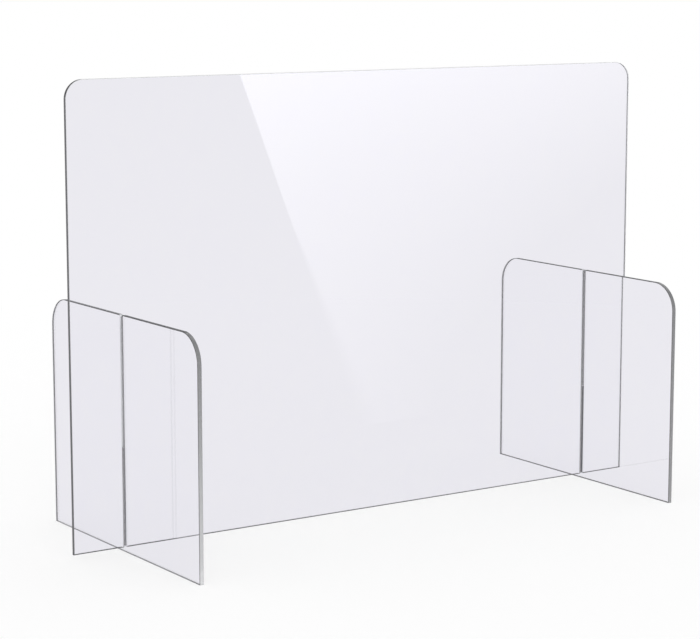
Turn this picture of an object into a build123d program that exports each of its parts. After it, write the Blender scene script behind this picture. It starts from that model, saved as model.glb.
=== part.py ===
from build123d import *
import os
from math import sqrt

# A clear splash shield that stands on a bench. One upright panel is held near each end
# by a flat foot that crosses it. All three are cut from flat clear acrylic sheet, and go
# together without screws or glue: a slot in the panel's lower edge drops over a slot in
# the foot's upper edge, as in a cross halving. Millimetres, +Z up. The panel stands in
# the XZ plane with its front towards -Y, and the origin is on the bench at its middle.

# Panel
panel_width = 914.0
panel_height = 604.0
panel_thickness = 5.0
panel_corner_radius = 25.0

# Feet
foot_length = 390.0
foot_height = 310.0
foot_thickness = 6.0
foot_corner_radius = 38.0

# From each end of the panel to the middle of the foot that holds it
foot_inset = 76.0

# Slots
slot_floor_height = 137.0
slot_side_clearance = 0.1
slot_end_radius = 1.5
slot_lead_in = 1.5
seat_clearance = 0.05
bench_gap = 6.0

# Polished rim round the outside of each sheet
rim_radius = 0.8

# How far a cutting profile runs past the edge that it opens
overcut = 2.0

foot_spacing = panel_width - 2 * foot_inset

# Each slot is as wide as the sheet that it takes, plus the clearance on both sides.
foot_slot_width = panel_thickness + 2 * slot_side_clearance
panel_slot_width = foot_thickness + 2 * slot_side_clearance


# A cutter leaves a small radius in both corners of a slot's end. The square edge of the
# crossing sheet stops this far above the flat of the end, where it meets that radius.
def seat_lift(clearance):
    reach = max(slot_end_radius - clearance, 0)
    return slot_end_radius - sqrt(slot_end_radius**2 - reach**2)


# The panel's slot ends rest on the feet's slot ends at their corners, with a small eye
# left open between the two flats, and the panel's lower edge hangs clear of the bench.
eye_height = 2 * seat_lift(slot_side_clearance) + seat_clearance
panel_slot_end_height = slot_floor_height + eye_height
foot_slot_depth = foot_height - slot_floor_height
panel_slot_depth = panel_slot_end_height - bench_gap


# Corner points of a slot with its mouth at the origin and its end below it. The mouth
# is opened out by a short slope on both sides, so that the crossing sheet finds it.
def slot_corners(width, depth):
    half = width / 2
    mouth = half + slot_lead_in
    left_side = [(-mouth, overcut), (-mouth, 0), (-half, -slot_lead_in), (-half, -depth)]
    right_side = [(-x, y) for x, y in reversed(left_side)]
    return left_side + right_side


os.makedirs("parts", exist_ok=True)

# The panel: square at the bottom, round at its two top corners, slotted from below
with BuildPart() as panel:
    with BuildSketch(Plane.XZ):
        with Locations((0, bench_gap)):
            sheet = Rectangle(panel_width, panel_height, align=(Align.CENTER, Align.MIN))
        fillet(sheet.vertices().group_by(Axis.Y)[-1], panel_corner_radius)
    extrude(amount=panel_thickness / 2, both=True)
    fillet(panel.edges().filter_by(Axis.Y, reverse=True), rim_radius)
    with BuildSketch(Plane.XZ) as panel_slots:
        with Locations((0, bench_gap)):
            with GridLocations(foot_spacing, 0, 2, 1):
                Polygon(*slot_corners(panel_slot_width, panel_slot_depth), rotation=180, align=None)
        fillet(panel_slots.vertices().group_by(Axis.Y)[-1], slot_end_radius)
    extrude(amount=panel_thickness, both=True, mode=Mode.SUBTRACT)
panel.part.label = "shield_panel"
export_step(panel.part, "parts/shield_panel.step")

# The feet: alike, square where they stand, round at their two top corners, slotted from
# above at the middle of their length
for foot_name, side in (("left_foot", -1), ("right_foot", 1)):
    foot_plane = Plane.YZ.offset(side * foot_spacing / 2)
    with BuildPart() as foot:
        with BuildSketch(foot_plane):
            sheet = Rectangle(foot_length, foot_height, align=(Align.CENTER, Align.MIN))
            fillet(sheet.vertices().group_by(Axis.Y)[-1], foot_corner_radius)
        extrude(amount=foot_thickness / 2, both=True)
        fillet(foot.edges().filter_by(Axis.X, reverse=True), rim_radius)
        with BuildSketch(foot_plane) as foot_slot:
            with Locations((0, foot_height)):
                Polygon(*slot_corners(foot_slot_width, foot_slot_depth), align=None)
            fillet(foot_slot.vertices().group_by(Axis.Y)[0], slot_end_radius)
        extrude(amount=foot_thickness, both=True, mode=Mode.SUBTRACT)
    foot.part.label = foot_name
    export_step(foot.part, f"parts/{foot_name}.step")
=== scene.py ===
from math import cos, pi, radians, sin

import bpy
from bpy.props import FloatProperty, FloatVectorProperty, IntProperty, PointerProperty
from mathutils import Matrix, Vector


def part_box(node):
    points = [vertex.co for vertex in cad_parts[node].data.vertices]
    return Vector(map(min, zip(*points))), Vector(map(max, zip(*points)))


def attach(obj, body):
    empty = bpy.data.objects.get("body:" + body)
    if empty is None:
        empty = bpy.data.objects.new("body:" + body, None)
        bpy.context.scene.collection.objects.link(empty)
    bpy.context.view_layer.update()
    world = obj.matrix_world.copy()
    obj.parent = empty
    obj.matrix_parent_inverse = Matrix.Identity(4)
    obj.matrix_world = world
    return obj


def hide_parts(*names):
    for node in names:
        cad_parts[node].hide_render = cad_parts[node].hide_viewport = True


bl_info = {
    "name": "Bench splash shield",
    "version": (1, 0, 0),
    "blender": (4, 5, 0),
    "location": "3D View > Sidebar > Splash Shield",
    "description": "Builds a clear acrylic splash shield from three slotted sheets",
    "category": "Add Mesh",
}

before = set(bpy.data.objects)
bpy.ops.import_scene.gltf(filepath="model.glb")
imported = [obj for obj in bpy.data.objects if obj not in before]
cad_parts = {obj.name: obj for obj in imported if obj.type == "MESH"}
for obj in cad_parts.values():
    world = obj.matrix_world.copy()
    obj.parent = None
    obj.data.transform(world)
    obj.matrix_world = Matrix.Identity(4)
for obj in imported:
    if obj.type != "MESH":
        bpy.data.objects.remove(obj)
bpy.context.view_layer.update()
MM = 0.001

PANEL_LOW, PANEL_HIGH = (Vector(corner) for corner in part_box("shield_panel"))
LEFT_LOW, LEFT_HIGH = (Vector(corner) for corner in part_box("left_foot"))
RIGHT_LOW, RIGHT_HIGH = (Vector(corner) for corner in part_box("right_foot"))
LEFT_MIDDLE = (LEFT_LOW.x + LEFT_HIGH.x) / 2
RIGHT_MIDDLE = (RIGHT_LOW.x + RIGHT_HIGH.x) / 2

# How an outline is drawn in a slot: runs in each of its end's rounds, and how far past its
# mouth the edge of the sheet stays nearly square
SLOT_ROUND_STEPS = 8
SQUARE_BESIDE_SLOT = 1.5 * MM

# The rings of a wall are made RING_GAP apart. Points closer than WELD are one point, and
# an edge turned by more than CREASE radians is shaded as a corner
RING_GAP = 0.1 * MM
WELD = 2e-6
CREASE = 0.5

# How much painted light goes into the colour of the edges of a sheet: low down at the bench, high
# up at GLOW_TOP metres, and in the slots. The direction given with these points to where that
# painted light comes from, as if from a window of the room. The more an edge faces that way, the
# more painted light it gets, with up and down alike, and none where it faces away.
# RIM_SHARE is what the polished rim gives of that. All of these were matched.
GLOW_TOP = 0.3
RIM_SHARE = 0.7
PANEL_PAINTED_LIGHT = {
    "Painted Light Low": 0.15,
    "Painted Light High": 1.0,
    "Painted Slot Light": 0.15,
    "Window": (1.1, -1.1, 0.4),
}
LEFT_FOOT_PAINTED_LIGHT = {
    "Painted Light Low": 0.6,
    "Painted Light High": 0.12,
    "Painted Slot Light": 1.0,
    "Window": (0.6, -1.1, 0.8),
}
RIGHT_FOOT_PAINTED_LIGHT = {**LEFT_FOOT_PAINTED_LIGHT, "Painted Light Low": 0.25, "Painted Slot Light": 0.4}

# Attributes that only help to make a sheet
HELPERS = ("rim_share", "spot", "ring", "facing", "edge_share")

# The light card stands in front of the panel, and only its mirror image shows. Its
# corners are (x, z) in metres. Its glow is a base plus a fall for each metre across and
# a rise with the square of the height. Its left side is sharp down to its third corner,
# and from there to the fourth it softens to CARD_SOFT metres.
CARD_Y = -0.45
CARD_CORNERS = [
    (0.03, 0.67),
    (0.062, 0.588),
    (0.158, 0.345),
    (0.29, 0.012),
    (1.3, 0.012),
    (1.3, 0.67),
]
CARD_BASE, CARD_FALL, CARD_RISE = 1.4, -3.1, 8.4
CARD_SHARP, CARD_SOFT = 0.004, 0.04

# Stage: how far the bench reaches each way, the lamps as (name, turn in degrees, strength),
# and the camera
BENCH_REACH = 30.0
LAMPS = (
    ("key_light", (68.0, 0.0, -20.0), 1.5),
    ("fill_light", (50.0, 0.0, 120.0), 0.5),
)
LAMP_SPREAD = 50
CAMERA_PLACE = (-1.7191, -2.5090, 0.7527)
CAMERA_TURN = (80.981, 0.0, -33.924)
CAMERA_LENS, CAMERA_SENSOR = 115.66, 36.0

# The floor: the share of it that is lit and not glowing near the shield, for the camera and
# for what the sheets show, and from where to where in metres that fades out
LIT_SHARE, LIT_IN_CLEAR = 0.3, 0.1
SHADOW_REACH = (0.9, 2.0)

# The world: its even light, and how far up the sheets still show a mix of paper and shade,
# as the upward part of a direction
ROOM_LIGHT = 0.7
SHADE_RISE = 0.25

WHITE = (1.0, 1.0, 1.0, 1.0)
ACRYLIC_IOR = 1.49

# Kinds of node that come up often
MATH, VECTOR_MATH = "ShaderNodeMath", "ShaderNodeVectorMath"
MIX, MAP_RANGE = "ShaderNodeMix", "ShaderNodeMapRange"
NOISE, BUMP = "ShaderNodeTexNoise", "ShaderNodeBump"


def linear(hex_colour):
    """An sRGB hex colour such as EAE9EE as linear red, green and blue."""
    shares = [int(hex_colour[i : i + 2], 16) / 255 for i in (0, 2, 4)]
    return tuple(s / 12.92 if s <= 0.04045 else ((s + 0.055) / 1.055) ** 2.4 for s in shares)


def length(name, description, default):
    """A size in metres that a user may change."""
    return FloatProperty(
        name=name,
        description=description,
        default=default,
        min=0.0,
        unit="LENGTH",
        subtype="DISTANCE",
        precision=5,
    )


def colour(name, description, value):
    """A colour that a user may change, kept linear."""
    return FloatVectorProperty(
        name=name,
        description=description,
        default=value,
        size=3,
        min=0.0,
        max=1.0,
        subtype="COLOR",
    )


class SplashShieldSizes(bpy.types.PropertyGroup):
    """Sizes of the three sheets."""

    panel_width: length(
        "Panel width", "Upright panel from end to end", PANEL_HIGH.x - PANEL_LOW.x
    )
    panel_foot: length(
        "Panel lower edge", "Gap from the bench to the panel's lower edge", PANEL_LOW.z
    )
    panel_top: length("Panel upper edge", "Height of the panel's upper edge", PANEL_HIGH.z)
    panel_thickness: length("Panel thickness", "Sheet of the panel", PANEL_HIGH.y - PANEL_LOW.y)
    panel_corner: length("Panel corner radius", "Round of the panel's two top corners", 25 * MM)
    foot_length: length("Foot length", "Each foot from front to back", LEFT_HIGH.y - LEFT_LOW.y)
    foot_height: length("Foot height", "Height of each foot", LEFT_HIGH.z)
    foot_thickness: length("Foot thickness", "Sheet of the feet", LEFT_HIGH.x - LEFT_LOW.x)
    foot_corner: length("Foot corner radius", "Round of a foot's two top corners", 38 * MM)
    slot_floor: length("Slot floor", "Height of the end of the slot in each foot", 137 * MM)
    slot_eye: length("Slot eye", "Opening left between the ends of two slots", 1.974 * MM)
    slot_clearance: length("Slot clearance", "Air on each side of a sheet in its slot", 0.1 * MM)
    slot_end: length("Slot end radius", "Cutter's round in the corners of a slot", 1.5 * MM)
    slot_lead: length("Slot lead-in", "Slope at the mouth of a slot", 1.5 * MM)
    rim: length("Polished rim", "Round that polishing leaves along an edge", 0.8 * MM)
    slot_rim: length("Slot rim", "Break along the edges inside a slot", 0.15 * MM)
    corner_steps: IntProperty(
        name="Corner steps",
        description="Straight runs in a quarter turn of an outline",
        default=28,
        min=4,
        max=64,
    )
    rim_steps: IntProperty(
        name="Rim steps",
        description="Straight runs in a quarter turn of the rim",
        default=6,
        min=2,
        max=12,
    )


class SplashShieldLook(bpy.types.PropertyGroup):
    """Colours of the acrylic and of the studio round it."""

    sheet_tint: colour("Sheet tint", "Colour that the clear sheet gives", linear("FEFEFE"))
    # The two edge colours are painted shade, a dark grey, and painted light, a pale grey; each
    # edge's colour goes between them by the painted light it gets
    painted_edge_shade: colour("Painted edge shade", "Colour of an edge in the shade", linear("5A5A5C"))
    painted_edge_glow: colour("Painted edge light", "Colour of an edge that gives light", linear("ECEDEE"))
    paper: colour("Studio paper", "Pale paper that the sheets show", linear("EDECF1"))
    shade: colour("Studio shade", "Dim studio over and beside the paper", linear("646567"))


def add(tree, kind, settings=None, *places, **inputs):
    """Adds a node with its settings, sets or links its inputs, and returns its outputs.

    Inputs are given in order, or by name with _ for a space, or by i and their place. A
    list of sockets is linked to one input.
    """
    node = tree.nodes.new(kind)
    for key, value in (settings or {}).items():
        setattr(node, key, value)
    for key, value in {**{f"i{n}": v for n, v in enumerate(places)}, **inputs}.items():
        socket = node.inputs[int(key[1:]) if key[1:].isdigit() else key.replace("_", " ")]
        for one in value if isinstance(value, list) else [value]:
            if isinstance(one, bpy.types.NodeSocket):
                tree.links.new(one, socket)
            else:
                socket.default_value = one
    return node.outputs


def arc(centre, radius, start, turn, steps):
    """Points along an arc, its ends among them, angles in radians."""
    return [
        (
            centre[0] + radius * cos(start + turn * i / steps),
            centre[1] + radius * sin(start + turn * i / steps),
        )
        for i in range(steps + 1)
    ]


def notch(middle, mouth, end, width, sizes):
    """Points of a slot cut from an edge at height mouth to height end, from left to right.

    The mouth is opened by a slope on both sides, and the end has a cutter's round in
    both corners. All of its points are marked 0, which keeps their edges nearly square.
    """
    half, radius, lead = width / 2, sizes.slot_end, sizes.slot_lead
    inward = 1 if end > mouth else -1
    side = middle - half
    left = [(side - lead, mouth), (side, mouth + inward * lead)]
    centre = (side + radius, end - inward * radius)
    left += arc(centre, radius, pi, -inward * pi / 2, SLOT_ROUND_STEPS)
    right = [(2 * middle - x, y) for x, y in reversed(left)]
    outside = half + lead + SQUARE_BESIDE_SLOT
    return [
        (middle - outside, mouth, 1.0),
        *[(x, y, 0.0) for x, y in left + right],
        (middle + outside, mouth, 1.0),
    ]


def sheet_outline(low, high, corner, slots_below, slots_above, sizes):
    """Points (x, y, rim share) of an upright sheet, anticlockwise from its lower left corner."""
    steps = sizes.corner_steps
    points = [(low[0], low[1])]
    for slot in slots_below:
        points += slot
    points += [(high[0], low[1])]
    points += arc((high[0] - corner, high[1] - corner), corner, 0.0, pi / 2, steps)
    for slot in slots_above:
        points += list(reversed(slot))
    points += arc((low[0] + corner, high[1] - corner), corner, pi / 2, pi / 2, steps)
    return [p if len(p) == 3 else (*p, 1.0) for p in points]


def sheet_tree():
    """A node tree that makes a cut sheet with a polished rim from a flat outline.

    A wall of rings is swept round the outline. Each ring is then moved in by the round
    of the rim and to its place across the thickness, and both open sides are filled.
    """
    tree = bpy.data.node_groups.new("cut acrylic sheet", "GeometryNodeTree")
    tree.is_modifier = True
    for name, kind in (
        ("Geometry", "Geometry"),
        ("Thickness", "Float"),
        ("Rim Radius", "Float"),
        ("Slot Rim Radius", "Float"),
        ("Rim Steps", "Int"),
        ("Painted Light Low", "Float"),
        ("Painted Light High", "Float"),
        ("Painted Slot Light", "Float"),
        ("Window", "Vector"),
        ("Turn", "Vector"),
        ("Place", "Vector"),
        ("Face Material", "Material"),
        ("Edge Material", "Material"),
    ):
        tree.interface.new_socket(name, in_out="INPUT", socket_type="NodeSocket" + kind)
    tree.interface.new_socket("Geometry", in_out="OUTPUT", socket_type="NodeSocketGeometry")
    given = add(tree, "NodeGroupInput")
    thickness, steps = given["Thickness"], given["Rim Steps"]
    position = add(tree, "GeometryNodeInputPosition")[0]
    normal = add(tree, "GeometryNodeInputNormal")[0]
    spot, ring, share, mean, edge_share = (
        add(tree, "GeometryNodeInputNamedAttribute", dict(data_type=kind), Name=name)[0]
        for name, kind in (
            ("spot", "FLOAT_VECTOR"),
            ("ring", "FLOAT"),
            ("rim_share", "FLOAT"),
            ("facing", "FLOAT_VECTOR"),
            ("edge_share", "FLOAT"),
        )
    )

    # The outline as a closed curve that carries each point's place and rim share
    carried = add(
        tree,
        "GeometryNodeStoreNamedAttribute",
        dict(data_type="FLOAT_VECTOR"),
        Geometry=given["Geometry"],
        Name="spot",
        Value=position,
    )
    outline = add(tree, "GeometryNodeMeshToCurve", Mesh=carried[0])[0]

    # A profile of numbered points. Only the numbers matter, as the places come later
    sides = add(tree, MATH, dict(operation="ADD"), steps, 1.0)[0]
    rings = add(tree, MATH, dict(operation="MULTIPLY"), sides, 2.0)[0]
    line = add(tree, "GeometryNodeMeshLine", Count=rings, Offset=(0.0, RING_GAP, 0.0))[0]
    numbered = add(
        tree,
        "GeometryNodeStoreNamedAttribute",
        dict(data_type="FLOAT"),
        Geometry=line,
        Name="ring",
        Value=add(tree, "GeometryNodeInputIndex")[0],
    )
    profile = add(tree, "GeometryNodeMeshToCurve", Mesh=numbered[0])[0]
    swept = add(tree, "GeometryNodeCurveToMesh", Curve=outline, Profile_Curve=profile)[0]

    # Each ring's angle round the rim, its side of the sheet, its inset and its height
    rims = dict(i2=given["Slot Rim Radius"], i3=given["Rim Radius"])
    radius = add(tree, MIX, dict(data_type="FLOAT"), Factor=share, **rims)[0]
    middle = add(tree, MATH, dict(operation="ADD"), steps, 0.5)[0]
    from_middle = add(tree, MATH, dict(operation="SUBTRACT"), ring, middle)[0]
    side = add(tree, MATH, dict(operation="SIGN"), from_middle)[0]
    apart = add(tree, MATH, dict(operation="ABSOLUTE"), from_middle)[0]
    step = add(tree, MATH, dict(operation="SUBTRACT"), apart, 0.5)[0]
    turn_share = add(tree, MATH, dict(operation="DIVIDE"), step, steps)[0]
    angle = add(tree, MATH, dict(operation="MULTIPLY"), turn_share, pi / 2)[0]
    half = add(tree, MATH, dict(operation="MULTIPLY"), thickness, 0.5)[0]
    straight = add(tree, MATH, dict(operation="SUBTRACT"), half, radius)[0]
    sine = add(tree, MATH, dict(operation="SINE"), angle)[0]
    rise = add(tree, MATH, dict(operation="MULTIPLY_ADD"), sine, radius, straight)[0]
    height = add(tree, MATH, dict(operation="MULTIPLY"), rise, side)[0]
    cosine = add(tree, MATH, dict(operation="COSINE"), angle)[0]
    inset_share = add(tree, MATH, dict(operation="SUBTRACT"), 1.0, cosine)[0]
    inset = add(tree, MATH, dict(operation="MULTIPLY"), inset_share, radius)[0]
    lift = add(tree, "ShaderNodeCombineXYZ", Z=height)[0]
    lifted = add(tree, VECTOR_MATH, dict(operation="ADD"), spot, lift)[0]
    outward = add(tree, "GeometryNodeFlipFaces", Mesh=swept)[0]
    wall = add(tree, "GeometryNodeSetPosition", Geometry=outward, Position=lifted)[0]

    # A point moves in by the mean of the normals of the two walls that meet there, made
    # long enough to keep both walls parallel to where they were
    facing = add(
        tree,
        "GeometryNodeStoreNamedAttribute",
        dict(data_type="FLOAT_VECTOR", domain="FACE"),
        Geometry=wall,
        Name="facing",
        Value=normal,
    )
    squared = add(tree, VECTOR_MATH, dict(operation="DOT_PRODUCT"), mean, mean)["Value"]
    back = add(tree, MATH, dict(operation="MULTIPLY"), inset, -1.0)[0]
    reach = add(tree, MATH, dict(operation="DIVIDE"), back, squared)[0]
    inward = add(tree, VECTOR_MATH, dict(operation="SCALE"), mean, Scale=reach)[0]
    rounded = add(tree, "GeometryNodeSetPosition", Geometry=facing[0], Offset=inward)[0]
    marked = add(
        tree,
        "GeometryNodeStoreNamedAttribute",
        dict(data_type="FLOAT", domain="FACE"),
        Geometry=rounded,
        Name="edge_share",
        Value=1.0,
    )[0]

    # The outline of the first ring, which is number 0, filled once for each side
    is_first = add(tree, MATH, dict(operation="LESS_THAN"), ring, 0.25)[0]
    rim_line = add(tree, "GeometryNodeMeshToCurve", Mesh=marked, Selection=is_first)[0]
    over = add(tree, "GeometryNodeFillCurve", Curve=rim_line)[0]
    under = add(tree, "GeometryNodeFlipFaces", Mesh=over)[0]
    shell = [marked]
    for filled, to_side in ((under, -0.5), (over, 0.5)):
        face_height = add(tree, MATH, dict(operation="MULTIPLY"), thickness, to_side)[0]
        move = add(tree, "ShaderNodeCombineXYZ", Z=face_height)[0]
        shell += [add(tree, "GeometryNodeTransform", Geometry=filled, Translation=move)[0]]
    joined = add(tree, "GeometryNodeJoinGeometry", None, shell)[0]
    closed = add(tree, "GeometryNodeMergeByDistance", Geometry=joined, Distance=WELD)[0]

    # Faces are flat. The wall is smooth, apart from its square corners
    is_wall = add(tree, MATH, dict(operation="GREATER_THAN"), edge_share, 0.5)[0]
    smooth = add(
        tree,
        "GeometryNodeSetShadeSmooth",
        dict(domain="FACE"),
        Geometry=closed,
        Shade_Smooth=is_wall,
    )
    edge_angle = add(tree, "GeometryNodeInputMeshEdgeAngle")[0]
    creased = add(
        tree,
        "GeometryNodeSetShadeSmooth",
        dict(domain="EDGE"),
        Geometry=smooth[0],
        Selection=add(tree, MATH, dict(operation="GREATER_THAN"), edge_angle, CREASE)[0],
        Shade_Smooth=False,
    )
    upright = add(
        tree,
        "GeometryNodeTransform",
        Geometry=creased[0],
        Rotation=given["Turn"],
        Translation=given["Place"],
    )

    # How much painted light an edge gets in its colour, kept in the edge_light attribute: the flat
    # of an edge that faces the given direction, as if toward a window of the room, gets it, more
    # or less with height, and the polished rim beside it gets less. The flat runs between the two
    # middle rings, each half a ring from the middle. The ends of two slots get painted light,
    # which lights up the eye between them
    turned = add(
        tree,
        "GeometryNodeStoreNamedAttribute",
        dict(data_type="FLOAT_VECTOR", domain="FACE"),
        Geometry=upright[0],
        Name="facing",
        Value=normal,
    )
    across = add(tree, "ShaderNodeSeparateXYZ", Vector=mean)
    level = add(tree, MATH, dict(operation="ABSOLUTE"), across["Z"])[0]
    seen = add(tree, "ShaderNodeCombineXYZ", X=across["X"], Y=across["Y"], Z=level)[0]
    painted_light_direction = given["Window"]
    facing_painted_light = add(tree, VECTOR_MATH, dict(operation="DOT_PRODUCT"), seen, painted_light_direction)["Value"]
    place_z = add(tree, "ShaderNodeSeparateXYZ", Vector=position)["Z"]
    low, high = given["Painted Light Low"], given["Painted Light High"]
    outer = add(tree, MAP_RANGE, None, place_z, 0.0, GLOW_TOP, low, high)[0]
    glows = dict(i2=given["Painted Slot Light"], i3=outer)
    glow = add(tree, MIX, dict(data_type="FLOAT"), Factor=share, **glows)[0]
    on_flat = add(tree, MATH, dict(operation="LESS_THAN"), apart, 0.75)[0]
    flat_more = 1.0 - RIM_SHARE
    spread = add(tree, MATH, dict(operation="MULTIPLY_ADD"), on_flat, flat_more, RIM_SHARE)[0]
    lit = add(tree, MATH, dict(operation="MULTIPLY"), facing_painted_light, glow)[0]
    lit = add(tree, MATH, dict(operation="MULTIPLY"), lit, spread)[0]
    in_slot = add(tree, MATH, dict(operation="SUBTRACT"), 1.0, share)[0]
    in_eye = add(tree, MATH, dict(operation="MULTIPLY"), level, in_slot)[0]
    lit = add(tree, MATH, dict(operation="MAXIMUM"), lit, in_eye)[0]
    lit = add(tree, MATH, dict(operation="MULTIPLY", use_clamp=True), lit, is_wall)[0]
    glowing = add(
        tree,
        "GeometryNodeStoreNamedAttribute",
        dict(data_type="FLOAT", domain="CORNER"),
        Geometry=turned[0],
        Name="edge_light",
        Value=lit,
    )

    real = add(tree, "GeometryNodeRealizeInstances", Geometry=glowing[0])[0]
    face, edge = given["Face Material"], given["Edge Material"]
    faces = add(tree, "GeometryNodeSetMaterial", Geometry=real, Material=face)[0]
    edges = add(
        tree, "GeometryNodeSetMaterial", Geometry=faces, Selection=is_wall, Material=edge
    )
    add(tree, "NodeGroupOutput", Geometry=edges[0])
    return tree


def cut_sheet(scene, name, node, points, values):
    """Makes one sheet from its outline and puts it in the place of a node of the frame."""
    sizes, look = scene.splash_shield_sizes, scene.splash_shield_look
    face, edge = cast_acrylic(look), polished_edge(look)
    mesh = bpy.data.meshes.new(name + "_outline")
    count = len(points)
    mesh.from_pydata(
        [(x, y, 0.0) for x, y, _ in points],
        [(i, (i + 1) % count) for i in range(count)],
        [],
    )
    mesh.materials.append(face)
    shares = mesh.attributes.new("rim_share", "FLOAT", "POINT")
    shares.data.foreach_set("value", [share for _, _, share in points])
    piece = bpy.data.objects.new(name, mesh)
    scene.collection.objects.link(piece)

    tree = bpy.data.node_groups.get("cut acrylic sheet") or sheet_tree()
    maker = piece.modifiers.new("cut sheet", "NODES")
    maker.node_group = tree
    keys = {
        item.name: item.identifier
        for item in tree.interface.items_tree
        if item.item_type == "SOCKET" and item.in_out == "INPUT"
    }
    values = {
        "Rim Radius": sizes.rim,
        "Slot Rim Radius": sizes.slot_rim,
        "Rim Steps": sizes.rim_steps,
        "Face Material": face,
        "Edge Material": edge,
        **values,
    }
    for key, value in values.items():
        maker[keys[key]] = value
    piece.update_tag()
    bpy.context.view_layer.update()
    made = bpy.data.meshes.new_from_object(
        piece.evaluated_get(bpy.context.evaluated_depsgraph_get())
    )
    piece.modifiers.clear()
    piece.data = made
    made.name = name
    bpy.data.meshes.remove(mesh)
    if len(made.polygons) < count:
        raise RuntimeError(name + " was not made")
    # Set Material puts an empty slot before its own
    if made.materials[0] is None:
        made.materials.pop(index=0)
    for helper in HELPERS:
        made.attributes.remove(made.attributes[helper])
    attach(piece, "root")
    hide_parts(node)


def new_material(name):
    """An empty node material, its tree, and its place in the object's own coordinates."""
    material = bpy.data.materials.new(name)
    material.use_nodes = True
    tree = material.node_tree
    tree.nodes.clear()
    return material, tree, add(tree, "ShaderNodeTexCoord")["Object"]


def let_lamps_through(tree, shader, share, tint):
    """Passes light from the lamps, tinted, which glass would otherwise stop."""
    shadow = add(tree, "ShaderNodeLightPath")["Is Shadow Ray"]
    clear = add(tree, "ShaderNodeBsdfTransparent", Color=(*tint, 1.0))[0]
    factor = add(tree, MATH, dict(operation="MULTIPLY"), shadow, share)[0]
    mixed = add(tree, "ShaderNodeMixShader", None, factor, shader, clear)[0]
    add(tree, "ShaderNodeOutputMaterial", Surface=mixed)


def cast_acrylic(look):
    """Cast acrylic sheet, polished on both faces by the mould it was cast in.

    It is almost colourless, with a faint cool cast. Casting leaves long shallow waves
    that bend what it mirrors a little, and wiping leaves faint duller swirls.
    """
    material = bpy.data.materials.get("cast_acrylic_sheet")
    if material:
        return material
    material, tree, place = new_material("cast_acrylic_sheet")
    # Casting waves about 120 mm long, and wiping swirls about 40 mm across
    waves = add(tree, NOISE, Vector=place, Scale=1 / (120 * MM), Detail=1.0, Roughness=0.4)[0]
    swirls = add(tree, NOISE, Vector=place, Scale=1 / (40 * MM), Detail=4.0, Distortion=1.5)[0]
    bump = add(tree, BUMP, Strength=0.15, Distance=0.2 * MM, Height=waves)[0]
    rough = add(tree, MAP_RANGE, None, swirls, 0.35, 0.75, 0.0, 0.012)[0]
    tints = dict(i6=(*look.sheet_tint, 1.0), i7=(*linear("FCFCFE"), 1.0))
    tone = add(tree, MIX, dict(data_type="RGBA"), Factor=swirls, **tints)[2]
    body = add(
        tree,
        "ShaderNodeBsdfPrincipled",
        Base_Color=tone,
        Roughness=rough,
        IOR=ACRYLIC_IOR,
        Transmission_Weight=1.0,
        Normal=bump,
    )
    let_lamps_through(tree, body[0], 1.0, linear("F6F6F8"))
    return material


def polished_edge(look):
    """Saw-cut acrylic edge, flame polished.

    It is clear but not as clear as a face: fine cutting lines still cross it. Its colour is
    painted shade, a grey that stands in for light that has run through the sheet and been lost on
    the way, and painted light, a pale tone where it seems to give light that has come from a
    window.
    """
    material = bpy.data.materials.get("flame_polished_acrylic_edge")
    if material:
        return material
    material, tree, place = new_material("flame_polished_acrylic_edge")
    # Cutting lines are about 0.3 mm apart, drawn 3 mm apart so that they show. The
    # polishing flame leaves clouds about 50 mm long
    lines = add(tree, NOISE, Vector=place, Scale=1 / (3 * MM), Detail=2.0)[0]
    clouds = add(tree, NOISE, Vector=place, Scale=1 / (50 * MM), Detail=3.0)[0]
    bump = add(tree, BUMP, Strength=0.2, Distance=0.1 * MM, Height=lines)[0]
    rough = add(tree, MAP_RANGE, None, clouds, 0.3, 0.7, 0.05, 0.14)[0]
    # How much painted light the edge gets, made uneven by the clouds, up to 15 percent either way
    light = add(tree, "ShaderNodeAttribute", dict(attribute_name="edge_light"))["Fac"]
    uneven = add(tree, MATH, dict(operation="MULTIPLY_ADD"), clouds, 0.3, -0.15)[0]
    more = add(tree, MATH, dict(operation="MULTIPLY"), light, uneven)[0]
    shown = add(tree, MATH, dict(operation="ADD", use_clamp=True), light, more)[0]
    # From a dark grey of painted shade to a pale grey of painted light
    tints = dict(i6=(*look.painted_edge_shade, 1.0), i7=(*look.painted_edge_glow, 1.0))
    tone = add(tree, MIX, dict(data_type="RGBA"), Factor=shown, **tints)[2]
    body = add(
        tree,
        "ShaderNodeBsdfPrincipled",
        Base_Color=tone,
        Roughness=rough,
        IOR=ACRYLIC_IOR,
        Transmission_Weight=0.15,
        Normal=bump,
    )
    let_lamps_through(tree, body[0], 0.85, linear("E4E6E4"))
    return material


def seen_in_clear(tree):
    """1 for a ray that a sheet mirrors or lets through, 0 for any other."""
    path = add(tree, "ShaderNodeLightPath")
    rays = path["Is Glossy Ray"], path["Is Transmission Ray"]
    return add(tree, MATH, dict(operation="MAXIMUM"), *rays)[0]


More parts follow.
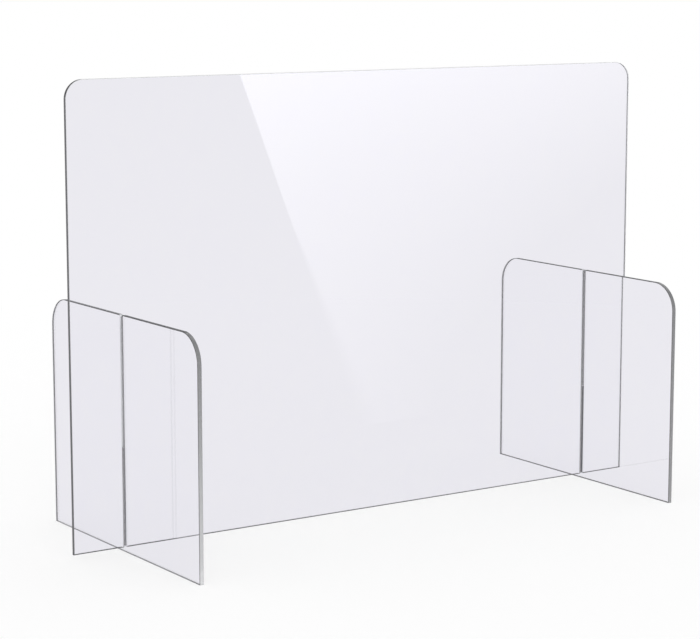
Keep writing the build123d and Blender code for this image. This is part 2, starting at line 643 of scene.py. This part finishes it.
def bench_paper(look):
    """Seamless white studio paper, matt.

    The camera sees it white, and the sheets see it at the pale tone of the paper. Near
    the shield part of it is lit and not glowing, so that it keeps the shadow: LIT_SHARE of
    what the camera sees, and LIT_IN_CLEAR of what the sheets show.
    """
    material, tree, place = new_material("seamless_studio_paper")
    clear = seen_in_clear(tree)
    grain = add(tree, NOISE, Vector=place, Scale=1 / (2 * MM), Detail=2.0)[0]
    tints = dict(i6=WHITE, i7=(*look.paper, 1.0))
    tone = add(tree, MIX, dict(data_type="RGBA"), Factor=clear, **tints)[2]
    bump = add(tree, BUMP, Strength=0.1, Distance=0.1 * MM, Height=grain)[0]
    matt = add(tree, "ShaderNodeBsdfDiffuse", Color=tone, Normal=bump)[0]
    glow = add(tree, "ShaderNodeEmission", Color=tone, Strength=1.0)[0]
    far = add(tree, VECTOR_MATH, dict(operation="LENGTH"), place)["Value"]
    glows = dict(i2=1.0 - LIT_SHARE, i3=1.0 - LIT_IN_CLEAR)
    near = add(tree, MIX, dict(data_type="FLOAT"), Factor=clear, **glows)[0]
    share = add(tree, MAP_RANGE, None, far, *SHADOW_REACH, near, 1.0)[0]
    camera = add(tree, "ShaderNodeLightPath")["Is Camera Ray"]
    shown = add(tree, MATH, dict(operation="MAXIMUM"), camera, clear)[0]
    glowing = add(tree, MATH, dict(operation="MULTIPLY"), shown, share)[0]
    mixed = add(tree, "ShaderNodeMixShader", None, glowing, matt, glow)[0]
    add(tree, "ShaderNodeOutputMaterial", Surface=mixed)
    return material


def card_glow():
    """The glow of a soft light card, added to what lies behind it.

    It is brightest at its upper left and fades away to the right and down, as a soft box
    does from its lamp.
    """
    material, tree, place = new_material("soft_light_card")
    spot = add(tree, "ShaderNodeSeparateXYZ", Vector=place)
    square = add(tree, MATH, dict(operation="POWER"), spot["Z"], 2.0)[0]
    rise = add(tree, MATH, dict(operation="MULTIPLY"), square, CARD_RISE)[0]
    falls = CARD_FALL, CARD_BASE
    fall = add(tree, MATH, dict(operation="MULTIPLY_ADD"), spot["X"], *falls)[0]
    strength = add(tree, MATH, dict(operation="ADD"), rise, fall)[0]
    strength = add(tree, MATH, dict(operation="MAXIMUM"), strength, 0.0)[0]
    (high_x, high_z), (low_x, low_z) = CARD_CORNERS[2:4]
    heights = spot["Z"], high_z, low_z
    side = add(tree, MAP_RANGE, dict(clamp=False), *heights, high_x, low_x)[0]
    softness = add(tree, MAP_RANGE, None, *heights, CARD_SHARP, CARD_SOFT)[0]
    inside = add(tree, MATH, dict(operation="SUBTRACT"), spot["X"], side)[0]
    fade = add(tree, MATH, dict(operation="DIVIDE", use_clamp=True), inside, softness)[0]
    strength = add(tree, MATH, dict(operation="MULTIPLY"), strength, fade)[0]
    tint = (*linear("FAF9FF"), 1.0)
    glow = add(tree, "ShaderNodeEmission", Color=tint, Strength=strength)[0]
    clear = add(tree, "ShaderNodeBsdfTransparent")[0]
    both = add(tree, "ShaderNodeAddShader", None, clear, glow)[0]
    add(tree, "ShaderNodeOutputMaterial", Surface=both)
    return material


def stage_sheet(name, corners, material, scene):
    """A flat stage object with these corners."""
    mesh = bpy.data.meshes.new(name)
    mesh.from_pydata(corners, [], [range(len(corners))])
    mesh.materials.append(material)
    sheet = bpy.data.objects.new(name, mesh)
    scene.collection.objects.link(sheet)
    return sheet


def light_card(scene):
    """The card that the panel alone mirrors."""
    corners = [(x, CARD_Y, z) for x, z in CARD_CORNERS]
    card = stage_sheet("light_card", corners, card_glow(), scene)
    card.visible_camera = False
    card.visible_diffuse = False
    card.visible_transmission = False
    card.visible_shadow = False
    lit_by_card = bpy.data.collections.new("lit_by_light_card")
    lit_by_card.objects.link(bpy.data.objects["upright_panel"])
    card.light_linking.receiver_collection = lit_by_card


def studio(look, scene):
    """The studio round the bench.

    The camera sees it white. The sheets see the tone of the paper, with the shade over
    it. All other rays get an even white light.
    """
    world = bpy.data.worlds.new("studio")
    scene.world = world
    world.use_nodes = True
    tree = world.node_tree
    tree.nodes.clear()
    place = add(tree, "ShaderNodeTexCoord")["Generated"]
    height = add(tree, "ShaderNodeSeparateXYZ", Vector=place)["Z"]
    smooth = dict(interpolation_type="SMOOTHSTEP")
    rise = add(tree, MAP_RANGE, smooth, height, 0.0, SHADE_RISE, 0.0, 1.0)[0]
    tints = dict(i6=(*look.paper, 1.0), i7=(*look.shade, 1.0))
    room = add(tree, MIX, dict(data_type="RGBA"), Factor=rise, **tints)[2]
    plain, shown, white = (
        add(tree, "ShaderNodeBackground", Color=tone, Strength=strength)[0]
        for tone, strength in ((WHITE, ROOM_LIGHT), (room, 1.0), (WHITE, 1.0))
    )
    clear = add(tree, "ShaderNodeMixShader", None, seen_in_clear(tree), plain, shown)[0]
    camera = add(tree, "ShaderNodeLightPath")["Is Camera Ray"]
    all_rays = add(tree, "ShaderNodeMixShader", None, camera, clear, white)[0]
    add(tree, "ShaderNodeOutputWorld", Surface=all_rays)


def lamps_and_camera(scene):
    """Two wide soft lamps, and the camera."""
    for name, turn, strength in LAMPS:
        lamp = bpy.data.lights.new(name, "SUN")
        lamp.angle = radians(LAMP_SPREAD)
        lamp.energy = strength
        lit = bpy.data.objects.new(name, lamp)
        lit.rotation_euler = [radians(angle) for angle in turn]
        scene.collection.objects.link(lit)
    lens = bpy.data.cameras.new("camera")
    lens.lens = CAMERA_LENS
    lens.sensor_width = CAMERA_SENSOR
    camera = bpy.data.objects.new("camera", lens)
    camera.location = CAMERA_PLACE
    camera.rotation_euler = [radians(angle) for angle in CAMERA_TURN]
    scene.collection.objects.link(camera)
    scene.camera = camera


class SPLASHSHIELD_OT_panel(bpy.types.Operator):
    """Make the upright panel"""

    bl_idname = "splashshield.panel"
    bl_label = "Upright Panel"

    def execute(self, context):
        sizes = context.scene.splash_shield_sizes
        half = sizes.panel_width / 2
        mouth, end = sizes.panel_foot, sizes.slot_floor + sizes.slot_eye
        width = sizes.foot_thickness + 2 * sizes.slot_clearance
        slots = [notch(middle, mouth, end, width, sizes) for middle in (LEFT_MIDDLE, RIGHT_MIDDLE)]
        low, high = (-half, sizes.panel_foot), (half, sizes.panel_top)
        values = {
            "Thickness": sizes.panel_thickness,
            "Turn": (pi / 2, 0.0, 0.0),
            "Place": (0.0, 0.0, 0.0),
            **PANEL_PAINTED_LIGHT,
        }
        points = sheet_outline(low, high, sizes.panel_corner, slots, [], sizes)
        cut_sheet(context.scene, "upright_panel", "shield_panel", points, values)
        return {"FINISHED"}


class SPLASHSHIELD_OT_feet(bpy.types.Operator):
    """Make the two slotted feet"""

    bl_idname = "splashshield.feet"
    bl_label = "Slotted Feet"

    def execute(self, context):
        sizes = context.scene.splash_shield_sizes
        half = sizes.foot_length / 2
        width = sizes.panel_thickness + 2 * sizes.slot_clearance
        slot = notch(0.0, sizes.foot_height, sizes.slot_floor, width, sizes)
        low, high = (-half, 0.0), (half, sizes.foot_height)
        points = sheet_outline(low, high, sizes.foot_corner, [], [slot], sizes)
        for name, node, middle, glow in (
            ("slotted_foot_left", "left_foot", LEFT_MIDDLE, LEFT_FOOT_PAINTED_LIGHT),
            ("slotted_foot_right", "right_foot", RIGHT_MIDDLE, RIGHT_FOOT_PAINTED_LIGHT),
        ):
            values = {
                "Thickness": sizes.foot_thickness,
                "Turn": (pi / 2, 0.0, pi / 2),
                "Place": (middle, 0.0, 0.0),
                **glow,
            }
            cut_sheet(context.scene, name, node, points, values)
        return {"FINISHED"}


class SPLASHSHIELD_OT_stage(bpy.types.Operator):
    """Make the bench, the light and the camera"""

    bl_idname = "splashshield.stage"
    bl_label = "Bench, Light and Camera"

    def execute(self, context):
        scene = context.scene
        look = scene.splash_shield_look
        scene.view_settings.view_transform = "Standard"
        reach = BENCH_REACH
        corners = [(-reach, -reach, 0.0), (reach, -reach, 0.0), (reach, reach, 0.0)]
        corners += [(-reach, reach, 0.0)]
        stage_sheet("bench_top", corners, bench_paper(look), scene)
        light_card(scene)
        studio(look, scene)
        lamps_and_camera(scene)
        return {"FINISHED"}


class SPLASHSHIELD_PT_sidebar(bpy.types.Panel):
    """Lists the pieces of the splash shield"""

    bl_idname = "SPLASHSHIELD_PT_sidebar"
    bl_label = "Splash Shield"
    bl_space_type = "VIEW_3D"
    bl_region_type = "UI"
    bl_category = "Splash Shield"

    def draw(self, context):
        layout = self.layout
        for maker in OPERATORS:
            layout.operator(maker.bl_idname)
        for group in (context.scene.splash_shield_sizes, context.scene.splash_shield_look):
            column = layout.column()
            for key in group.__annotations__:
                column.prop(group, key)


OPERATORS = (SPLASHSHIELD_OT_panel, SPLASHSHIELD_OT_feet, SPLASHSHIELD_OT_stage)
CLASSES = (SplashShieldSizes, SplashShieldLook, *OPERATORS, SPLASHSHIELD_PT_sidebar)


def register():
    for item in CLASSES:
        bpy.utils.register_class(item)
    bpy.types.Scene.splash_shield_sizes = PointerProperty(type=SplashShieldSizes)
    bpy.types.Scene.splash_shield_look = PointerProperty(type=SplashShieldLook)


def unregister():
    del bpy.types.Scene.splash_shield_look
    del bpy.types.Scene.splash_shield_sizes
    for item in reversed(CLASSES):
        bpy.utils.unregister_class(item)


def main():
    register()
    bpy.ops.splashshield.panel()
    bpy.ops.splashshield.feet()
    bpy.ops.splashshield.stage()


if __name__ == "__main__":
    main()
